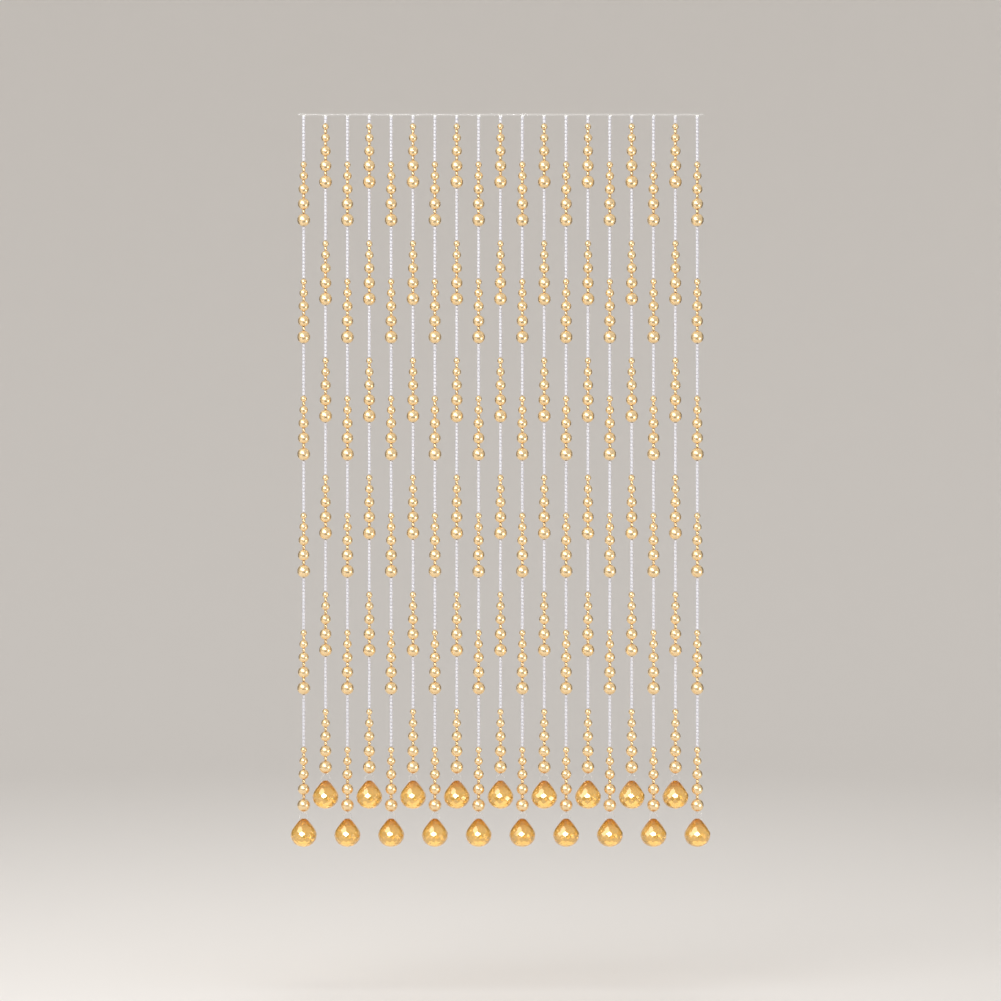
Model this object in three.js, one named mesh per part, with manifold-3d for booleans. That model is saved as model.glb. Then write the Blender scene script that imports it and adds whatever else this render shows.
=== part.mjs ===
// Bead curtain for a doorway: strands of strung beads under a narrow clear heading strip.
//
// A strand hangs from a knot. It is white seed beads broken by groups of five gold pearl beads
// that grow downwards, with a gold seed bead between each two, and it ends in a clear line loop
// that carries a faceted amber drop. Long and short strands alternate, so groups and drops stagger.
//
// Millimetres, +Z up. The origin is the middle of the heading strip's top face, by which the
// curtain is held. +X runs along the curtain and -Y is its front.

import * as THREE from 'three';
import { mergeVertices } from 'three/addons/utils/BufferGeometryUtils.js';
import loadManifold from 'manifold-3d';

// Driving dimensions
const STRAND_COUNT = 19;
const STRAND_PITCH = 42;
const FIT_GAP = 0.3;

const HEADING = { overhang: 12, depth: 12, thickness: 2 };
const KNOT = { diameter: 8, height: 2.2 };

const SEED_BEAD = { diameter: 6.4, length: 6.65 };
const GOLD_BEAD_DIAMETERS = [12.5, 17, 20.5, 23, 25.5];
const GROUPS_PER_STRAND = 6;
const SEEDS_BETWEEN_GROUPS = 15;
const SEEDS_AT_TOP = { long: 13, short: 2 };

const LINE_DIAMETER = 1.2;
const LOOP = { halfWidth: 8.4, drop: 13, cornerPower: 0.18 };
const DROP_EYE = { depth: 2.6, radius: 1.4 };

// How finely the round pieces are cut
const STRAND_SIDES = 4;
const DROP_SIDES = 8;
const LOOP_SIDES = 3;
const LOOP_STEPS = 12;
const EYE_SIDES = 6;

// A large gold bead is as wide as its girdle over this share of its radius, above and below its
// middle. A smaller one has one edge round its middle.
const GIRDLE_SHARE = 0.38;
const SMALLEST_GIRDLED_DIAMETER = 20;

// Outline of the amber drop: how far below its tip, and how wide the drop is there
const DROP_OUTLINE = [
  { below: 0, width: 8 },
  { below: 5.4, width: 20.5 },
  { below: 20, width: 41.9 },
  { below: 27, width: 48.2 },
  { below: 32.4, width: 49.4 },
  { below: 43.2, width: 42.6 },
  { below: 50, width: 27 },
  { below: 54, width: 9 },
];

const wasm = await loadManifold();
wasm.setup();

// Finishes

const clearPlastic = new THREE.MeshStandardMaterial({
  name: 'clear_plastic', color: '#e6e7e6', roughness: 0.15, metalness: 0, transparent: true, opacity: 0.5,
});
const clearLine = new THREE.MeshStandardMaterial({
  name: 'clear_line', color: '#d8d8d4', roughness: 0.2, metalness: 0, transparent: true, opacity: 0.6,
});
const goldPearl = new THREE.MeshStandardMaterial({
  name: 'gold_pearl', color: '#e8c488', roughness: 0.18, metalness: 0.7,
});
const amberCrystal = new THREE.MeshStandardMaterial({
  name: 'amber_crystal', color: '#e2a548', roughness: 0.05, metalness: 0,
});

// Joining and cutting closed meshes

function toSolid(geometry) {
  const bare = geometry.clone();
  bare.deleteAttribute('normal');
  bare.deleteAttribute('uv');
  const merged = mergeVertices(bare);
  return new wasm.Manifold(new wasm.Mesh({
    numProp: 3,
    vertProperties: new Float32Array(merged.attributes.position.array),
    triVerts: new Uint32Array(merged.index.array),
  }));
}

function toGeometry(solid) {
  const { vertProperties, triVerts } = solid.getMesh();
  const geometry = new THREE.BufferGeometry();
  geometry.setAttribute('position', new THREE.BufferAttribute(vertProperties, 3));
  geometry.setIndex(new THREE.BufferAttribute(triVerts, 1));
  geometry.computeVertexNormals();
  return geometry;
}

// A solid of revolution about Z from rows of { z, radius }, listed from the top down
function turned(rows, sides) {
  const profile = [
    new THREE.Vector2(0, rows[0].z),
    ...rows.map(({ z, radius }) => new THREE.Vector2(radius, z)),
    new THREE.Vector2(0, rows.at(-1).z),
  ].reverse();
  return new THREE.LatheGeometry(profile, sides).rotateX(Math.PI / 2);
}

// Rows of one group of gold beads that starts at the height top
function groupRows(top) {
  const seedRadius = SEED_BEAD.diameter / 2;
  const rows = [{ z: top, radius: seedRadius }];
  let z = top;
  GOLD_BEAD_DIAMETERS.forEach((diameter, index) => {
    const radius = diameter / 2;
    const middle = z - radius;
    if (index > 0) {
      rows.push({ z: z + SEED_BEAD.length / 2, radius: seedRadius });
    }
    if (diameter < SMALLEST_GIRDLED_DIAMETER) {
      rows.push({ z: middle, radius });
    } else {
      rows.push({ z: middle + GIRDLE_SHARE * radius, radius });
      rows.push({ z: middle - GIRDLE_SHARE * radius, radius });
    }
    z -= diameter + SEED_BEAD.length;
  });
  const bottom = z + SEED_BEAD.length;
  rows.push({ z: bottom, radius: seedRadius });
  return { rows, bottom };
}

// A whole strand, hung with the top of its knot at z = 0
function strandForm(seedsAtTop) {
  const rows = [
    { z: 0, radius: KNOT.diameter / 2 },
    { z: -KNOT.height, radius: SEED_BEAD.diameter / 2 },
  ];
  let top = -KNOT.height - seedsAtTop * SEED_BEAD.length;
  let bottom = top;
  for (let group = 0; group < GROUPS_PER_STRAND; group += 1) {
    const made = groupRows(top);
    rows.push(...made.rows);
    bottom = made.bottom;
    top = bottom - SEEDS_BETWEEN_GROUPS * SEED_BEAD.length;
  }
  return { geometry: turned(rows, STRAND_SIDES), bottom };
}

// The line loop: a round arch under the last bead, and a straight run through the drop's eye
class LoopCurve extends THREE.Curve {
  constructor(halfWidth, archTop, run) {
    super();
    this.halfWidth = halfWidth;
    this.archTop = archTop;
    this.run = run;
  }

  getPoint(t, target = new THREE.Vector3()) {
    const angle = 2 * Math.PI * t;
    const archFoot = this.archTop - this.halfWidth;
    const rise = Math.cos(angle);
    const across = Math.sin(angle);
    const power = rise >= 0 ? 1 : LOOP.cornerPower;
    const x = this.halfWidth * Math.sign(across) * Math.abs(across) ** power;
    const reach = rise >= 0 ? this.halfWidth : archFoot - this.run;
    return target.set(x, 0, archFoot + reach * Math.sign(rise) * Math.abs(rise) ** power);
  }

  // Steps are even in angle, so that the corners by the eye get their own points
  getUtoTmapping(u) {
    return u;
  }
}

// Hung with the last bead's lower end at z = 0
function loopForm() {
  const lineRadius = LINE_DIAMETER / 2;
  const archTop = -FIT_GAP - lineRadius;
  const eyeInside = DROP_EYE.radius * Math.cos(Math.PI / EYE_SIDES);
  const run = eyeHeight() + eyeInside - FIT_GAP - lineRadius;
  const curve = new LoopCurve(LOOP.halfWidth, archTop, run);
  return new THREE.TubeGeometry(curve, LOOP_STEPS, lineRadius, LOOP_SIDES, true);
}

// Height of the middle of the drop's eye, under the last bead's lower end
function eyeHeight() {
  return -LOOP.drop - DROP_EYE.depth;
}

// The amber drop with its eye drilled across its tip, hung with the last bead's lower end at z = 0
function dropForm() {
  const rows = DROP_OUTLINE.map(({ below, width }) => ({ z: -LOOP.drop - below, radius: width / 2 }));
  const widest = Math.max(...DROP_OUTLINE.map(({ width }) => width));
  const eye = new THREE.CylinderGeometry(DROP_EYE.radius, DROP_EYE.radius, widest, EYE_SIDES);
  eye.rotateZ(Math.PI / 2).translate(0, 0, eyeHeight());
  return toGeometry(toSolid(turned(rows, DROP_SIDES)).subtract(toSolid(eye)));
}

function headingForm() {
  const length = (STRAND_COUNT - 1) * STRAND_PITCH + 2 * HEADING.overhang;
  const strip = new THREE.BoxGeometry(length, HEADING.depth, HEADING.thickness);
  return strip.translate(0, 0, -HEADING.thickness / 2);
}

function named(geometry, material, name) {
  const mesh = new THREE.Mesh(geometry, material);
  mesh.name = name;
  return mesh;
}

// The curtain

const forms = {
  long: strandForm(SEEDS_AT_TOP.long),
  short: strandForm(SEEDS_AT_TOP.short),
};
const loop = loopForm();
const drop = dropForm();

const curtain = new THREE.Group();
curtain.add(named(headingForm(), clearPlastic, 'heading_strip'));

for (let index = 0; index < STRAND_COUNT; index += 1) {
  const number = String(index + 1).padStart(2, '0');
  const form = index % 2 === 0 ? forms.long : forms.short;

  const strand = new THREE.Group();
  strand.position.set(
    (index - (STRAND_COUNT - 1) / 2) * STRAND_PITCH,
    0,
    -HEADING.thickness - FIT_GAP,
  );
  strand.add(named(form.geometry, goldPearl, `strand_${number}`));

  const pendant = new THREE.Group();
  pendant.position.z = form.bottom;
  pendant.add(named(loop, clearLine, `loop_${number}`));
  pendant.add(named(drop, amberCrystal, `drop_${number}`));

  strand.add(pendant);
  curtain.add(strand);
}

export default curtain;
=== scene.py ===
"""Bead curtain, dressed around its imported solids: gold pearl beads and white seed beads on clear
line, under a slim clear heading, with a faceted amber drop at the end of each strand."""

import math
import random
from collections import namedtuple

import bmesh
import bpy
from bpy.props import FloatProperty, FloatVectorProperty, IntProperty, PointerProperty
from bpy.types import Operator, Panel, PropertyGroup
from mathutils import Matrix, Vector


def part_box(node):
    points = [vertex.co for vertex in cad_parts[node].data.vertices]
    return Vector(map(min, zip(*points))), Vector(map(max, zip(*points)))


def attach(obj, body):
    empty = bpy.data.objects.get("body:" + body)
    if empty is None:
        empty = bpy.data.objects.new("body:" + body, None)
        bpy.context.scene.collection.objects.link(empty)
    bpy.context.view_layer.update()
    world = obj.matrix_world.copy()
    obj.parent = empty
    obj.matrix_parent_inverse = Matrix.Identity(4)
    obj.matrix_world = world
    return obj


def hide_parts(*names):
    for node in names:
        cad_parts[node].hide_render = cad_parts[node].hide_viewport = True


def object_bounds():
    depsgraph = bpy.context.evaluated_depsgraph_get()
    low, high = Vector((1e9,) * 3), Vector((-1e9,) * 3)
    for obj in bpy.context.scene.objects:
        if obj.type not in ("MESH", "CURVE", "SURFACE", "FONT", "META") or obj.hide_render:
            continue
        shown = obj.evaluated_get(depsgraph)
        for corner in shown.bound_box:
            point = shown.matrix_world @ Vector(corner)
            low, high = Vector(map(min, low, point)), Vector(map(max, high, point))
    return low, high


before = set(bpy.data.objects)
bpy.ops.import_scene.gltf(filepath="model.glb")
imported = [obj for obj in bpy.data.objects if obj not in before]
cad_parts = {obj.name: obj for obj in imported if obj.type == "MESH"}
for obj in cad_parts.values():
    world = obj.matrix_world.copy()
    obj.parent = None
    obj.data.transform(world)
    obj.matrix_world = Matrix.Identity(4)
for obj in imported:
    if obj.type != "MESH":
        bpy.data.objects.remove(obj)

bl_info = {
    "name": "Bead Curtain",
    "version": (1, 0, 0),
    "blender": (4, 5, 0),
    "location": "View3D > Sidebar > Bead Curtain",
    "description": "Strings a doorway curtain of gold pearl beads, white seed beads and amber drops",
    "category": "Object",
}

CAD_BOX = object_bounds()
BODY = "root"
STRAND_NUMBERS = [name[-2:] for name in sorted(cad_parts) if name.startswith("strand_")]

# A row of flats ground on the amber drop: how many, how far the row is turned in steps, how far each
# flat looks up in degrees, and how far from the drop's axis and below its tip it lies, in metres
FacetRow = namedtuple("FacetRow", "sides turn tilt reach below")

DROP_FACETS = (
    FacetRow(sides=14, turn=0.82, tilt=52, reach=0.0079, below=0.0030),
    FacetRow(sides=14, turn=0.32, tilt=39, reach=0.0146, below=0.0110),
    FacetRow(sides=14, turn=0.82, tilt=31, reach=0.0204, below=0.0195),
    FacetRow(sides=14, turn=0.32, tilt=16, reach=0.0235, below=0.0257),
    FacetRow(sides=14, turn=0.82, tilt=-3, reach=0.0245, below=0.0333),
    FacetRow(sides=14, turn=0.32, tilt=-18, reach=0.0232, below=0.0387),
    FacetRow(sides=14, turn=0.82, tilt=-37, reach=0.0201, below=0.0443),
    FacetRow(sides=14, turn=0.32, tilt=-56, reach=0.0149, below=0.0494),
    FacetRow(sides=7, turn=0.41, tilt=-72, reach=0.0076, below=0.0528),
)

# Share of a drop's height, from its tip down, over which the deep colour painted at the tip as shade
# fades
TIP_SHADE_SHARE = 0.6

# Length of the drill for a drop's eye, more than a drop is wide
DRILL_LENGTH = 0.06

# Points closer than the first are one, and points within the second of a flat are on it
WELD_DISTANCE = 1e-6
FLAT_DISTANCE = 1e-7

# Starts of the random draws
GOLD_DRAW = 19
WHITE_DRAW = 7
DROP_DRAW = 3

# Where a strand hangs, and what is strung on it
StrandPlace = namedtuple("StrandPlace", "middle top bottom")
StrungBead = namedtuple("StrungBead", "kind size height")


class CurtainHeading(PropertyGroup):
    """Edges of the heading strip."""

    corner: FloatProperty(
        name="Corner", description="Radius of the strip's corners", default=0.004, unit="LENGTH")
    rim: FloatProperty(
        name="Rim", description="Width of the soft rims", default=0.0005, unit="LENGTH")


class CurtainBeads(PropertyGroup):
    """Sizes of the strung beads."""

    seed_width: FloatProperty(
        name="Seed width", description="Diameter of a seed bead", default=0.0064, unit="LENGTH")
    seed_length: FloatProperty(
        name="Seed length", description="Length of a seed bead along its line", default=0.00665,
        unit="LENGTH")
    gold_diameters: FloatVectorProperty(
        name="Gold beads", description="Diameters in one group, from the top down", size=5,
        default=(0.0125, 0.017, 0.0205, 0.023, 0.0255), unit="LENGTH")
    groups: IntProperty(
        name="Groups", description="Groups of gold beads on each strand", default=6)
    seeds_between: IntProperty(
        name="Seeds between", description="White seed beads between two groups", default=15)
    hole: FloatProperty(
        name="Hole", description="Diameter of the hole through a gold bead", default=0.002,
        unit="LENGTH")


class CurtainLine(PropertyGroup):
    """Sizes of the clear line, its knot and its loop."""

    diameter: FloatProperty(
        name="Line", description="Diameter of the line", default=0.0012, unit="LENGTH")
    knot_width: FloatProperty(
        name="Knot width", description="Width of the knot at the top of a strand", default=0.008,
        unit="LENGTH")
    knot_height: FloatProperty(
        name="Knot height", description="Height of that knot", default=0.0022, unit="LENGTH")
    corner_power: FloatProperty(
        name="Corner", description="How square the loop is at the drop's eye, less being squarer",
        default=0.18)


class CurtainDrops(PropertyGroup):
    """Sizes of the amber drops."""

    eye_depth: FloatProperty(
        name="Eye depth", description="From the tip down to the middle of the eye", default=0.0026,
        unit="LENGTH")
    eye_radius: FloatProperty(
        name="Eye radius", description="Radius of the eye across the tip", default=0.0014,
        unit="LENGTH")
    edge: FloatProperty(
        name="Edge", description="Width of the polished edge between two flats", default=0.0003,
        unit="LENGTH")


class CurtainFinish(PropertyGroup):
    """Colours of the finishes, with the shade painted by the holes of beads and at the tips of drops.
    """

    gold_light: FloatVectorProperty(
        name="Gold, light", description="Pale champagne of a gold pearl", subtype="COLOR", size=4,
        default=(0.95, 0.73, 0.42, 1.0))
    # Gold, deep also paints shade by the holes of a pearl, where the next bead touches
    gold_deep_and_shade: FloatVectorProperty(
        name="Gold, deep", description="Deeper gold by the holes of a pearl", subtype="COLOR", size=4,
        default=(0.88, 0.60, 0.29, 1.0))
    amber_light: FloatVectorProperty(
        name="Amber, light", description="Body of a drop", subtype="COLOR", size=4,
        default=(1.0, 0.66, 0.18, 1.0))
    # Amber, deep is painted shade at the tip of a drop
    amber_deep_and_shade: FloatVectorProperty(
        name="Amber, deep", description="Tip of a drop", subtype="COLOR", size=4,
        default=(0.60, 0.21, 0.0, 1.0))
    seed_light: FloatVectorProperty(
        name="Seed, light", description="Milky white of a seed bead", subtype="COLOR", size=4,
        default=(0.65, 0.65, 0.69, 1.0))
    # Seed, deep also paints shade by the holes of a seed bead, where the next seed touches
    seed_deep_and_shade: FloatVectorProperty(
        name="Seed, deep", description="Greyer white by the holes of a seed bead", subtype="COLOR",
        size=4, default=(0.60, 0.60, 0.65, 1.0))
    clear: FloatVectorProperty(
        name="Clear", description="Tint of the line and the heading", subtype="COLOR", size=4,
        default=(0.95, 0.96, 0.95, 1.0))
    backdrop: FloatVectorProperty(
        name="Backdrop", description="Pale floor and backdrop", subtype="COLOR", size=4,
        default=(0.82, 0.793, 0.766, 1.0))


class CurtainStage(PropertyGroup):
    """Camera and stage."""

    image_width: IntProperty(
        name="Image width", description="Width of the picture in pixels", default=1001,
        subtype="PIXEL")
    pixel: FloatProperty(
        name="Pixel", description="Width of one pixel at the curtain", default=0.001921,
        unit="LENGTH", precision=6)
    lens: FloatProperty(
        name="Lens", description="Focal length in millimetres", default=100.0)
    eye_level: FloatProperty(
        name="Eye level", description="Height of the camera, from the heading's top", default=-0.7422,
        unit="LENGTH")
    floor_level: FloatProperty(
        name="Floor", description="Height of the floor, from the heading's top", default=-1.69,
        unit="LENGTH")
    room_radius: FloatProperty(
        name="Room radius", description="From the curtain to the round wall", default=7.5,
        unit="LENGTH")
    room_bend: FloatProperty(
        name="Room bend", description="Radius of the bend between the floor and the wall", default=3.0,
        unit="LENGTH")
    room_height: FloatProperty(
        name="Room height", description="Height of the wall", default=6.0, unit="LENGTH")


# Places taken from the frame

def strand_place(number):
    """Where a strand hangs: its middle, its top and its bottom."""
    low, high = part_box(f"strand_{number}")
    return StrandPlace(middle=(low.x + high.x) / 2, top=high.z, bottom=low.z)


def seeds_at_top(number, beads, line):
    """How many white seed beads come before the first group of a strand."""
    place = strand_place(number)
    group = sum(beads.gold_diameters) + (len(beads.gold_diameters) - 1) * beads.seed_length
    between = (beads.groups - 1) * beads.seeds_between * beads.seed_length
    left = place.top - place.bottom - line.knot_height - beads.groups * group - between
    return round(left / beads.seed_length)


def strung_beads(number, beads, line):
    """Lists the beads of a strand from the top down, each with the height of its middle."""
    z = strand_place(number).top - line.knot_height
    found = []

    def hang(kind, size, length):
        nonlocal z
        found.append(StrungBead(kind, size, z - length / 2))
        z -= length

    white = seeds_at_top(number, beads, line)
    for group in range(beads.groups):
        for seed in range(white):
            hang("white", beads.seed_width, beads.seed_length)
        for place, diameter in enumerate(beads.gold_diameters):
            if place:
                hang("spacer", beads.seed_width, beads.seed_length)
            hang("gold", diameter, diameter)
        white = beads.seeds_between
    return found


# Shaping

def flat_plane(row, step):
    """Normal of one flat of a row, and a point on it, for a drop whose tip is at the origin."""
    turn = 2 * math.pi * (step + row.turn) / row.sides
    tilt = math.radians(row.tilt)
    normal = Vector((math.cos(tilt) * math.cos(turn), math.cos(tilt) * math.sin(turn), math.sin(tilt)))
    point = Vector((row.reach * math.cos(turn), row.reach * math.sin(turn), -row.below))
    return normal, point


def grind(bm, normal, point):
    """Cuts away what lies beyond one flat, and closes the cut."""
    geometry = bm.verts[:] + bm.edges[:] + bm.faces[:]
    cut = bmesh.ops.bisect_plane(
        bm, geom=geometry, dist=FLAT_DISTANCE, plane_co=point, plane_no=normal, clear_outer=True)
    rim = [item for item in cut["geom_cut"] if isinstance(item, bmesh.types.BMEdge)]
    if rim:
        bmesh.ops.contextual_create(bm, geom=rim)


def turned(bm, outline, sides, closed):
    """Turns an outline of places in the XZ plane round Z."""
    verts = [bm.verts.new(place) for place in outline]
    pairs = list(zip(verts, verts[1:]))
    if closed:
        pairs.append((verts[-1], verts[0]))
    edges = [bm.edges.new(pair) for pair in pairs]
    bmesh.ops.spin(
        bm, geom=verts + edges, cent=(0, 0, 0), axis=(0, 0, 1), angle=2 * math.pi, steps=sides,
        use_merge=True)
    bmesh.ops.remove_doubles(bm, verts=bm.verts[:], dist=WELD_DISTANCE)
    bmesh.ops.recalc_face_normals(bm, faces=bm.faces[:])


def gold_bead(diameter, hole):
    """A round gold bead about the origin, with its hole along Z."""
    bm = bmesh.new()
    rim = math.asin(hole / diameter)
    steps = 7
    outline = []
    for step in range(steps + 1):
        angle = rim + (math.pi - 2 * rim) * step / steps
        outline.append((math.sin(angle) * diameter / 2, 0, math.cos(angle) * diameter / 2))
    turned(bm, outline, sides=12, closed=True)
    return bead_mesh(bm, "gold_bead", diameter / 2)


def seed_bead(width, length):
    """A seed bead about the origin, nearly a barrel: its outline is a rounded square."""
    bm = bmesh.new()
    steps = 8
    roundness = 0.45
    outline = []
    for step in range(steps + 1):
        angle = math.pi * step / steps
        rise = math.cos(angle)
        out = max(0.0, math.sin(angle)) ** roundness
        outline.append((out * width / 2, 0, math.copysign(abs(rise) ** roundness, rise) * length / 2))
    turned(bm, outline, sides=8, closed=False)
    return bead_mesh(bm, "seed_bead", length / 2)


def bead_mesh(bm, name, half_length):
    """Ends a bead: smooths it, notes for painted shade how near each point is to a hole, and turns it
    into a mesh.
    """
    for face in bm.faces:
        face.smooth = True
    painted_end_shade = bm.verts.layers.float.new("painted_end_shade")
    bm.verts.layers.float.new("tone")
    for vert in bm.verts:
        vert[painted_end_shade] = min(1.0, abs(vert.co.z) / half_length)
    return as_mesh(bm, name)


def as_mesh(bm, name):
    """Turns a bmesh into a mesh, and frees it."""
    mesh = bpy.data.meshes.new(name)
    bm.to_mesh(mesh)
    bm.free()
    return mesh


def add_copy(bm, master, place, tone):
    """Adds a placed copy of a bead, with its own tone."""
    before = len(bm.verts)
    copy = master.copy()
    copy.transform(place)
    bm.from_mesh(copy)
    bpy.data.meshes.remove(copy)
    bm.verts.ensure_lookup_table()
    layer = bm.verts.layers.float["tone"]
    for index in range(before, len(bm.verts)):
        bm.verts[index][layer] = tone


def string_up(number, kinds, masters, beads, line, draw):
    """Strings a strand's beads of some kinds, each turned by chance and with a tone of its own."""
    middle = strand_place(number).middle
    bm = bmesh.new()
    for bead in strung_beads(number, beads, line):
        if bead.kind in kinds:
            turn = Matrix.Rotation(draw.uniform(0, 2 * math.pi), 4, "Z")
            place = Matrix.Translation((middle, 0, bead.height)) @ turn
            add_copy(bm, masters[bead.size], place, draw.random())
    return bm


def curtain_pieces():
    """Collection of the curtain's own pieces, for lights that leave the floor and backdrop alone."""
    if "curtain_pieces" not in bpy.data.collections:
        bpy.data.collections.new("curtain_pieces")
    return bpy.data.collections["curtain_pieces"]


def finished(bm, name, material, slot, *nodes):
    """Turns a bmesh into a piece of the curtain that stands for the given nodes."""
    mesh = as_mesh(bm, name)
    mesh.materials.append(material)
    piece = bpy.data.objects.new(name, mesh)
    bpy.context.scene.collection.objects.link(piece)
    curtain_pieces().objects.link(piece)
    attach(piece, BODY)
    if nodes:
        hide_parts(*nodes)
    return piece


# Shader node groups

def new_group(name, inputs, outputs):
    """A shader node group with named sockets, given as pairs of a name and a kind of socket."""
    tree = bpy.data.node_groups.new(name, "ShaderNodeTree")
    for socket, kind in inputs:
        tree.interface.new_socket(socket, in_out="INPUT", socket_type=kind)
    for socket, kind in outputs:
        tree.interface.new_socket(socket, in_out="OUTPUT", socket_type=kind)
    return tree, tree.nodes.new("NodeGroupInput"), tree.nodes.new("NodeGroupOutput")


def math_node(tree, operation, first, second):
    """One step of arithmetic on two values, each a socket or a number."""
    node = tree.nodes.new("ShaderNodeMath")
    node.operation = operation
    for socket, value in zip(node.inputs, (first, second)):
        if isinstance(value, (int, float)):
            socket.default_value = value
        else:
            tree.links.new(value, socket)
    return node.outputs[0]


def bead_tint_and_shade_group():
    """Colour of a bead or drop: deeper or lighter from one to the next, painted shade at its ends,
    cloudy.
    """
    if "Bead tint and shade" in bpy.data.node_groups:
        return bpy.data.node_groups["Bead tint and shade"]
    tree, given, result = new_group(
        "Bead tint and shade",
        [("Light", "NodeSocketColor"), ("Deep", "NodeSocketColor"),
         ("Tone share", "NodeSocketFloat"), ("End shade share", "NodeSocketFloat"),
         ("Cloud share", "NodeSocketFloat"), ("Cloud scale", "NodeSocketFloat")],
        [("Color", "NodeSocketColor")])
    tone = tree.nodes.new("ShaderNodeAttribute")
    tone.attribute_name = "tone"
    painted_end_shade = tree.nodes.new("ShaderNodeAttribute")
    painted_end_shade.attribute_name = "painted_end_shade"
    place = tree.nodes.new("ShaderNodeTexCoord")
    cloud = tree.nodes.new("ShaderNodeTexNoise")
    cloud.inputs["Detail"].default_value = 2.0
    tree.links.new(place.outputs["Object"], cloud.inputs["Vector"])
    tree.links.new(given.outputs["Cloud scale"], cloud.inputs["Scale"])
    by_tone = math_node(tree, "MULTIPLY", tone.outputs["Fac"], given.outputs["Tone share"])
    # Painted shade, strongest at a bead's holes and at a drop's tip
    end_shade_mask = math_node(tree, "POWER", painted_end_shade.outputs["Fac"], 2.0)
    end_shade_part = math_node(tree, "MULTIPLY", end_shade_mask, given.outputs["End shade share"])
    by_cloud = math_node(tree, "MULTIPLY", cloud.outputs["Fac"], given.outputs["Cloud share"])
    depth = math_node(tree, "ADD", math_node(tree, "ADD", by_tone, end_shade_part), by_cloud)
    mix = tree.nodes.new("ShaderNodeMix")
    mix.data_type = "RGBA"
    tree.links.new(depth, mix.inputs["Factor"])
    tree.links.new(given.outputs["Light"], mix.inputs["A"])
    tree.links.new(given.outputs["Deep"], mix.inputs["B"])
    tree.links.new(mix.outputs["Result"], result.inputs["Color"])
    return tree


def polish_group():
    """Polish of a surface: faint cloudy changes of roughness, and a low ripple."""
    if "Polish" in bpy.data.node_groups:
        return bpy.data.node_groups["Polish"]
    tree, given, result = new_group(
        "Polish",
        [("Scale", "NodeSocketFloat"), ("Smooth", "NodeSocketFloat"), ("Dull", "NodeSocketFloat")],
        [("Roughness", "NodeSocketFloat"), ("Ripple", "NodeSocketFloat")])
    place = tree.nodes.new("ShaderNodeTexCoord")
    smear = tree.nodes.new("ShaderNodeTexNoise")
    smear.inputs["Detail"].default_value = 3.0
    tree.links.new(place.outputs["Object"], smear.inputs["Vector"])
    tree.links.new(given.outputs["Scale"], smear.inputs["Scale"])
    spread = tree.nodes.new("ShaderNodeMapRange")
    tree.links.new(smear.outputs["Fac"], spread.inputs["Value"])
    tree.links.new(given.outputs["Smooth"], spread.inputs["To Min"])
    tree.links.new(given.outputs["Dull"], spread.inputs["To Max"])
    tree.links.new(spread.outputs["Result"], result.inputs["Roughness"])
    tree.links.new(smear.outputs["Fac"], result.inputs["Ripple"])
    return tree


# Materials

def new_material(name):
    """A material with nodes, and its shader."""
    material = bpy.data.materials.new(name)
    material.use_nodes = True
    return material, material.node_tree.nodes["Principled BSDF"]


def add_tint_and_shade(shader, light, deep, tone, painted_end_shade, cloud, scale):
    """Places the bead tint, with its painted shade at the ends, in a shader's material."""
    tree = shader.id_data
    node = tree.nodes.new("ShaderNodeGroup")
    node.node_tree = bead_tint_and_shade_group()
    node.inputs["Light"].default_value = light
    node.inputs["Deep"].default_value = deep
    node.inputs["Tone share"].default_value = tone
    node.inputs["End shade share"].default_value = painted_end_shade
    node.inputs["Cloud share"].default_value = cloud
    node.inputs["Cloud scale"].default_value = scale
    tree.links.new(node.outputs["Color"], shader.inputs["Base Color"])


def add_polish(shader, scale, smooth, dull, ripple=0.0, depth=0.0):
    """Places the polish in a shader's material, with a bump where the ripple has a strength."""
    tree = shader.id_data
    node = tree.nodes.new("ShaderNodeGroup")
    node.node_tree = polish_group()
    node.inputs["Scale"].default_value = scale
    node.inputs["Smooth"].default_value = smooth
    node.inputs["Dull"].default_value = dull
    tree.links.new(node.outputs["Roughness"], shader.inputs["Roughness"])
    if ripple:
        bump = tree.nodes.new("ShaderNodeBump")
        bump.inputs["Strength"].default_value = ripple
        bump.inputs["Distance"].default_value = depth
        tree.links.new(node.outputs["Ripple"], bump.inputs["Height"])
        tree.links.new(bump.outputs["Normal"], shader.inputs["Normal"])


def gold_pearl(finish):
    """Champagne gold imitation pearl: a metallic lustre under a clear coat."""
    material, shader = new_material("champagne_pearl")
    # The pearl is painted deeper by its holes, as shade where the beads touch
    add_tint_and_shade(shader, finish.gold_light, finish.gold_deep_and_shade, tone=0.2, painted_end_shade=0.3, cloud=0.1, scale=150.0)
    add_polish(shader, scale=220.0, smooth=0.2, dull=0.27)
    shader.inputs["Metallic"].default_value = 0.75
    shader.inputs["Coat Weight"].default_value = 0.4
    shader.inputs["Coat Roughness"].default_value = 0.05
    return material


def white_seed(finish):
    """Milky white seed bead, softly glossy."""
    material, shader = new_material("milk_seed")
    # The seed is painted greyer by its holes, as shade where the seeds touch
    add_tint_and_shade(shader, finish.seed_light, finish.seed_deep_and_shade, tone=0.3, painted_end_shade=0.5, cloud=0.2, scale=200.0)
    add_polish(shader, scale=400.0, smooth=0.22, dull=0.36, ripple=0.1, depth=0.0002)
    shader.inputs["Coat Weight"].default_value = 0.3
    shader.inputs["Coat Roughness"].default_value = 0.12
    return material


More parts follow.
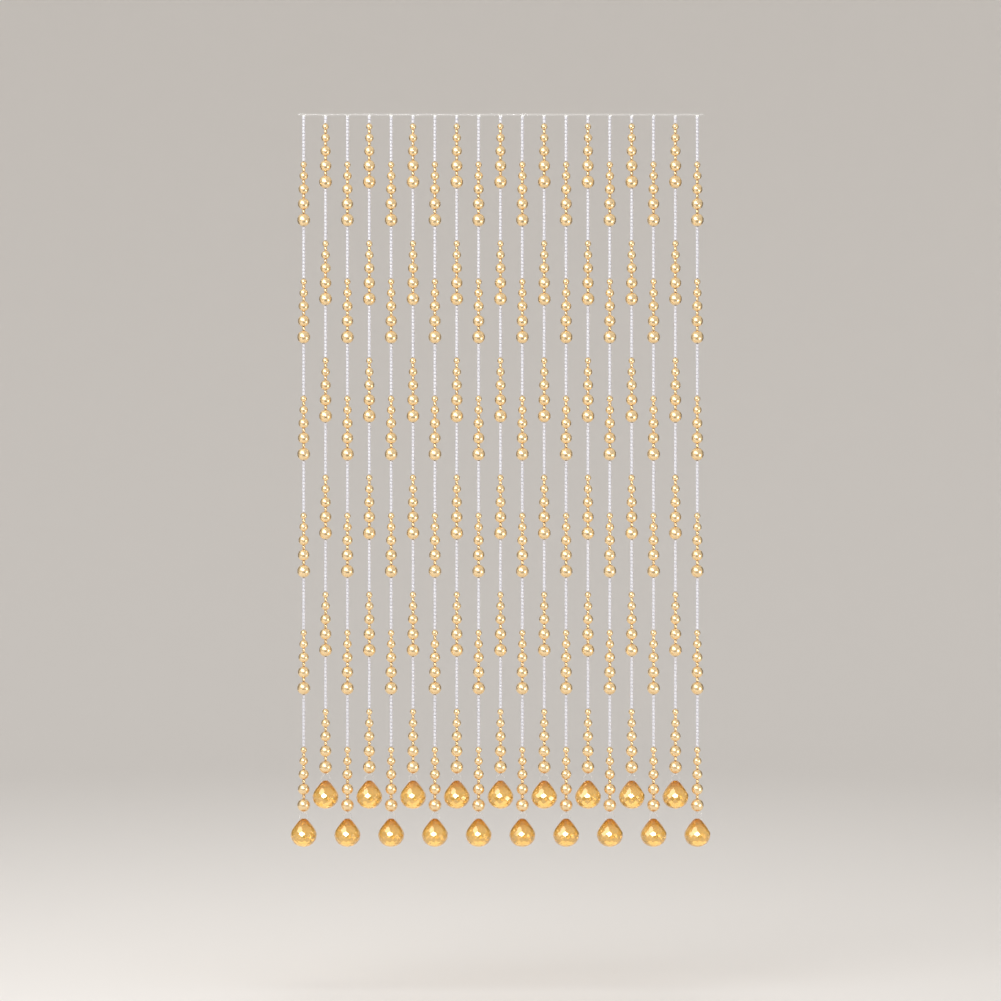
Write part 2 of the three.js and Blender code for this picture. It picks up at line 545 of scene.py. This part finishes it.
def amber_crystal(finish):
    """Clear amber cut crystal."""
    material, shader = new_material("amber_cut_crystal")
    # The drop is painted deep amber at its tip, as shade
    add_tint_and_shade(shader, finish.amber_light, finish.amber_deep_and_shade, tone=0.1, painted_end_shade=1.0, cloud=0.1, scale=60.0)
    add_polish(shader, scale=120.0, smooth=0.0, dull=0.06)
    shader.inputs["IOR"].default_value = 1.55
    shader.inputs["Metallic"].default_value = 0.15
    shader.inputs["Transmission Weight"].default_value = 0.6
    shader.inputs["Specular IOR Level"].default_value = 0.0
    shader.inputs["Coat Weight"].default_value = 0.8
    shader.inputs["Coat IOR"].default_value = 1.75
    shader.inputs["Coat Roughness"].default_value = 0.03
    return material


def clear_line(finish):
    """Clear nylon line."""
    material, shader = new_material("nylon_line")
    shader.inputs["Base Color"].default_value = finish.clear
    add_polish(shader, scale=600.0, smooth=0.08, dull=0.25, ripple=0.1, depth=0.0001)
    shader.inputs["IOR"].default_value = 1.5
    shader.inputs["Transmission Weight"].default_value = 0.7
    shader.inputs["Alpha"].default_value = 0.5
    return material


def clear_plastic(finish):
    """Thin clear plastic, seen through."""
    material, shader = new_material("clear_strip")
    shader.inputs["Base Color"].default_value = finish.clear
    add_polish(shader, scale=90.0, smooth=0.02, dull=0.08, ripple=0.05, depth=0.0003)
    shader.inputs["IOR"].default_value = 1.49
    shader.inputs["Alpha"].default_value = 0.15
    return material


def stage_paint(finish):
    """Plain pale matt paint."""
    material, shader = new_material("stage_paint")
    shader.inputs["Base Color"].default_value = finish.backdrop
    shader.inputs["Roughness"].default_value = 0.85
    return material


def card_paint():
    """Matt black."""
    if "card_paint" in bpy.data.materials:
        return bpy.data.materials["card_paint"]
    material, shader = new_material("card_paint")
    shader.inputs["Base Color"].default_value = (0.02, 0.02, 0.02, 1.0)
    shader.inputs["Roughness"].default_value = 0.9
    return material


# Operators

class CURTAIN_OT_gold_beads(Operator):
    """String the gold pearl beads and the gold seed beads between them"""

    bl_idname = "curtain.gold_beads"
    bl_label = "Gold Beads"

    def execute(self, context):
        beads = context.scene.curtain_beads
        line = context.scene.curtain_line
        material = gold_pearl(context.scene.curtain_finish)
        masters = {size: gold_bead(size, beads.hole) for size in beads.gold_diameters}
        masters[beads.seed_width] = seed_bead(beads.seed_width, beads.seed_length)
        draw = random.Random(GOLD_DRAW)
        for number in STRAND_NUMBERS:
            bm = string_up(number, ("gold", "spacer"), masters, beads, line, draw)
            finished(bm, f"gold_beads_{number}", material, "gold_pearl", f"strand_{number}")
        return {"FINISHED"}


class CURTAIN_OT_white_seeds(Operator):
    """String the white seed beads above and between the groups"""

    bl_idname = "curtain.white_seeds"
    bl_label = "White Seeds"

    def execute(self, context):
        beads = context.scene.curtain_beads
        line = context.scene.curtain_line
        material = white_seed(context.scene.curtain_finish)
        masters = {beads.seed_width: seed_bead(beads.seed_width, beads.seed_length)}
        draw = random.Random(WHITE_DRAW)
        for number in STRAND_NUMBERS:
            bm = string_up(number, ("white",), masters, beads, line, draw)
            finished(bm, f"white_seeds_{number}", material, "white_seed")
        return {"FINISHED"}


class CURTAIN_OT_lines(Operator):
    """Run the clear line through each strand, from its knot to the loop in its drop"""

    bl_idname = "curtain.lines"
    bl_label = "Lines And Loops"

    def execute(self, context):
        line = context.scene.curtain_line
        material = clear_line(context.scene.curtain_finish)
        for number in STRAND_NUMBERS:
            middle, top, bottom = strand_place(number)
            bm = bmesh.new()
            self.knot(bm, line, middle, top)
            self.straight(bm, line, middle, top - line.knot_height, bottom - line.diameter)
            self.loop(bm, line, number, middle)
            for face in bm.faces:
                face.smooth = True
            finished(bm, f"line_{number}", material, "clear_line", f"loop_{number}")
        return {"FINISHED"}

    def knot(self, bm, line, middle, top):
        """A small turned knot, round at its rim."""
        outline = ((0.0, 0.0), (0.42, 0.0), (0.5, -0.3), (0.46, -0.75), (0.38, -1.0), (0.0, -1.0))
        places = [(share * line.knot_width, 0, z * line.knot_height) for share, z in outline]
        turned(bm, places, sides=12, closed=False)
        bmesh.ops.translate(bm, vec=(middle, 0, top), verts=bm.verts[:])

    def straight(self, bm, line, middle, top, bottom):
        """The line inside the beads."""
        bmesh.ops.create_cone(
            bm, cap_ends=True, segments=8, radius1=line.diameter / 2, radius2=line.diameter / 2,
            depth=top - bottom, matrix=Matrix.Translation((middle, 0, (top + bottom) / 2)))

    def loop(self, bm, line, number, middle):
        """The loop: a round arch under the last bead, and a run through the eye of the drop."""
        low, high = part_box(f"loop_{number}")
        radius = line.diameter / 2
        half_width = (high.x - low.x) / 2 - radius
        arch_foot = high.z - radius - half_width
        reach = arch_foot - low.z - radius
        curve = bpy.data.curves.new("loop", "CURVE")
        curve.dimensions = "3D"
        curve.bevel_depth = radius
        curve.bevel_resolution = 2
        steps = 40
        spline = curve.splines.new("POLY")
        spline.points.add(steps - 1)
        spline.use_cyclic_u = True
        for step, point in enumerate(spline.points):
            angle = 2 * math.pi * step / steps
            rise = math.cos(angle)
            across = math.sin(angle)
            power = 1.0 if rise >= 0 else line.corner_power
            x = math.copysign(abs(across) ** power, across) * half_width
            z = half_width * rise if rise >= 0 else -reach * abs(rise) ** power
            point.co = (middle + x, 0, arch_foot + z, 1)
        holder = bpy.data.objects.new("loop", curve)
        mesh = bpy.data.meshes.new_from_object(holder)
        bm.from_mesh(mesh)
        bpy.data.objects.remove(holder)
        bpy.data.curves.remove(curve)
        bpy.data.meshes.remove(mesh)


class CURTAIN_OT_drops(Operator):
    """Cut the amber drops and hang them on their loops"""

    bl_idname = "curtain.drops"
    bl_label = "Amber Drops"

    def execute(self, context):
        drops = context.scene.curtain_drops
        material = amber_crystal(context.scene.curtain_finish)
        low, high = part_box(f"drop_{STRAND_NUMBERS[0]}")
        master = self.cut(drops, high.z - low.z)
        draw = random.Random(DROP_DRAW)
        for number in STRAND_NUMBERS:
            low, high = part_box(f"drop_{number}")
            bm = bmesh.new()
            place = Matrix.Translation(((low.x + high.x) / 2, 0, high.z))
            add_copy(bm, master, place, draw.random())
            finished(bm, f"amber_drop_{number}", material, "amber_crystal", f"drop_{number}")
        return {"FINISHED"}

    def cut(self, drops, height):
        """Grinds the flats of a drop whose tip is at the origin, and drills its eye along X."""
        bm = bmesh.new()
        bmesh.ops.create_cube(bm, size=2 * height, matrix=Matrix.Translation((0, 0, -height)))
        grind(bm, Vector((0, 0, -1)), Vector((0, 0, -height)))
        for row in DROP_FACETS:
            for step in range(row.sides):
                grind(bm, *flat_plane(row, step))
        bmesh.ops.bevel(
            bm, geom=bm.edges[:], offset=drops.edge, offset_type="WIDTH", segments=1, profile=0.5,
            affect="EDGES", material=-1, clamp_overlap=True)
        # How near each point is to the tip, for the shade painted there
        painted_end_shade = bm.verts.layers.float.new("painted_end_shade")
        bm.verts.layers.float.new("tone")
        for vert in bm.verts:
            vert[painted_end_shade] = max(0.0, 1.0 + vert.co.z / (TIP_SHADE_SHARE * height))
        return self.drilled(bm, drops)

    def drilled(self, bm, drops):
        """The drop with a round eye across its tip."""
        drill = bmesh.new()
        bmesh.ops.create_cone(
            drill, cap_ends=True, segments=16, radius1=drops.eye_radius, radius2=drops.eye_radius,
            depth=DRILL_LENGTH,
            matrix=Matrix.Translation((0, 0, -drops.eye_depth)) @ Matrix.Rotation(math.pi / 2, 4, "Y"))
        blank = bpy.data.objects.new("drop_blank", as_mesh(bm, "drop_blank"))
        cutter = bpy.data.objects.new("drill", as_mesh(drill, "drill"))
        for item in (blank, cutter):
            bpy.context.scene.collection.objects.link(item)
        boolean = blank.modifiers.new("eye", "BOOLEAN")
        boolean.operation = "DIFFERENCE"
        boolean.solver = "EXACT"
        boolean.object = cutter
        depsgraph = bpy.context.evaluated_depsgraph_get()
        mesh = bpy.data.meshes.new_from_object(blank.evaluated_get(depsgraph))
        for item in (blank, cutter):
            bpy.data.objects.remove(item)
        return mesh


class CURTAIN_OT_heading(Operator):
    """Make the clear strip that carries the strands"""

    bl_idname = "curtain.heading"
    bl_label = "Heading Strip"

    def execute(self, context):
        heading = context.scene.curtain_heading
        material = clear_plastic(context.scene.curtain_finish)
        low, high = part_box("heading_strip")
        bm = bmesh.new()
        bmesh.ops.create_cube(bm, size=1.0)
        bmesh.ops.scale(bm, vec=high - low, verts=bm.verts[:])
        bmesh.ops.translate(bm, vec=(low + high) / 2, verts=bm.verts[:])
        upright = [
            edge for edge in bm.edges if abs(edge.verts[0].co.z - edge.verts[1].co.z) > heading.rim]
        bmesh.ops.bevel(
            bm, geom=upright, offset=heading.corner, segments=6, profile=0.5, affect="EDGES",
            material=-1)
        sharp = math.radians(60)
        rims = [edge for edge in bm.edges if edge.calc_face_angle(0.0) > sharp]
        bmesh.ops.bevel(
            bm, geom=rims, offset=heading.rim, segments=2, profile=0.5, affect="EDGES", material=-1)
        finished(bm, "heading_strip_clear", material, "clear_plastic", "heading_strip")
        return {"FINISHED"}


class CURTAIN_OT_stage(Operator):
    """Set the camera, the soft lights, and the pale floor and backdrop"""

    bl_idname = "curtain.stage"
    bl_label = "Stage"

    def execute(self, context):
        stage = context.scene.curtain_stage
        self.camera(context, stage)
        self.room(context, stage)
        self.lamp("key", (-2.0, -2.4, 1.1), size=3.0, power=72.0)
        self.lamp("window", (-0.62, -3.6, 0.36), size=1.5, power=35.0, height=0.6, on_paint=False)
        self.lamp("fill", (1.6, -1.1, -1.4), size=1.0, power=14.0, on_paint=False)
        self.lamp("top", (0.0, -0.4, 3.2), size=3.0, power=75.0, mirrored=False, through_glass=False)
        self.lamp("back", (0.0, 2.6, 1.0), size=3.2, power=65.0, on_paint=False, mirrored=False)
        self.card("front_card", (-1.2, -3.6, -1.68), (1.4, -1.2, -1.68))
        self.card("left_card", (-2.2, 0.4, -1.68), (-2.2, 3.0, 0.8))
        self.card("right_card", (2.2, 0.4, -1.68), (2.2, 3.0, 0.8))
        world = bpy.data.worlds.new("soft_sky")
        world.use_nodes = True
        world.node_tree.nodes["Background"].inputs["Color"].default_value = (1.0, 0.99, 0.97, 1.0)
        world.node_tree.nodes["Background"].inputs["Strength"].default_value = 0.6
        context.scene.world = world
        context.scene.view_settings.view_transform = "Standard"
        return {"FINISHED"}

    def camera(self, context, stage):
        """Looks straight at the curtain's front."""
        data = bpy.data.cameras.new("camera")
        data.lens = stage.lens
        view_width = stage.image_width * stage.pixel
        camera = bpy.data.objects.new("camera", data)
        camera.location = (0, -view_width * stage.lens / data.sensor_width, stage.eye_level)
        camera.rotation_euler = (math.pi / 2, 0, 0)
        context.scene.collection.objects.link(camera)
        context.scene.camera = camera

    def room(self, context, stage):
        """A pale round room, open at the top: the floor, a wide bend and the wall."""
        radius = stage.room_radius
        floor = stage.floor_level
        bend = stage.room_bend
        outline = [(0, 0, floor)]
        steps = 12
        for step in range(steps + 1):
            angle = math.pi / 2 * step / steps
            outline.append((
                radius - bend + bend * math.sin(angle), 0, floor + bend - bend * math.cos(angle)))
        outline.append((radius, 0, floor + stage.room_height))
        bm = bmesh.new()
        turned(bm, outline, sides=96, closed=False)
        for face in bm.faces:
            face.smooth = True
        mesh = as_mesh(bm, "floor_and_backdrop")
        mesh.materials.append(stage_paint(context.scene.curtain_finish))
        sheet = bpy.data.objects.new("floor_and_backdrop", mesh)
        context.scene.collection.objects.link(sheet)

    def card(self, name, low, high):
        """A dark card between two corners, seen only in reflections and through the drops and lines."""
        if low[0] == high[0]:
            corners = (low, (low[0], high[1], low[2]), high, (low[0], low[1], high[2]))
        else:
            corners = (low, (high[0], low[1], low[2]), high, (low[0], high[1], low[2]))
        bm = bmesh.new()
        bm.faces.new([bm.verts.new(corner) for corner in corners])
        mesh = as_mesh(bm, name)
        mesh.materials.append(card_paint())
        card = bpy.data.objects.new(name, mesh)
        card.visible_camera = False
        card.visible_diffuse = False
        card.visible_shadow = False
        bpy.context.scene.collection.objects.link(card)

    def lamp(
            self, name, place, size, power, height=None, on_paint=True, mirrored=True,
            through_glass=True):
        """A soft light aimed at the middle of the curtain, square unless it has its own height."""
        data = bpy.data.lights.new(name, "AREA")
        data.shape = "RECTANGLE"
        data.size = size
        data.size_y = height or size
        data.energy = power
        lamp = bpy.data.objects.new(name, data)
        lamp.location = place
        middle = (CAD_BOX[0] + CAD_BOX[1]) / 2
        lamp.rotation_euler = (middle - Vector(place)).to_track_quat("-Z", "Y").to_euler()
        lamp.visible_camera = False
        lamp.visible_glossy = mirrored
        lamp.visible_transmission = through_glass
        if not on_paint:
            lamp.light_linking.receiver_collection = curtain_pieces()
        bpy.context.scene.collection.objects.link(lamp)


class CURTAIN_PT_panel(Panel):
    """Lists the steps that make the curtain"""

    bl_idname = "CURTAIN_PT_panel"
    bl_label = "Bead Curtain"
    bl_space_type = "VIEW_3D"
    bl_region_type = "UI"
    bl_category = "Bead Curtain"

    def draw(self, context):
        for step in STEPS:
            self.layout.operator(step.bl_idname)
        for name, group in SETTINGS.items():
            box = self.layout.box()
            for value in group.__annotations__:
                box.prop(getattr(context.scene, name), value)


SETTINGS = {
    "curtain_heading": CurtainHeading,
    "curtain_beads": CurtainBeads,
    "curtain_line": CurtainLine,
    "curtain_drops": CurtainDrops,
    "curtain_finish": CurtainFinish,
    "curtain_stage": CurtainStage,
}
STEPS = (
    CURTAIN_OT_heading,
    CURTAIN_OT_gold_beads,
    CURTAIN_OT_white_seeds,
    CURTAIN_OT_lines,
    CURTAIN_OT_drops,
    CURTAIN_OT_stage,
)
CLASSES = (*SETTINGS.values(), *STEPS, CURTAIN_PT_panel)


def register():
    for item in CLASSES:
        bpy.utils.register_class(item)
    for name, group in SETTINGS.items():
        setattr(bpy.types.Scene, name, PointerProperty(type=group))


def unregister():
    for name in SETTINGS:
        delattr(bpy.types.Scene, name)
    for item in reversed(CLASSES):
        bpy.utils.unregister_class(item)


def main():
    """Makes the curtain and its stage."""
    register()
    bpy.ops.curtain.heading()
    bpy.ops.curtain.gold_beads()
    bpy.ops.curtain.white_seeds()
    bpy.ops.curtain.lines()
    bpy.ops.curtain.drops()
    bpy.ops.curtain.stage()


if __name__ == "__main__":
    main()
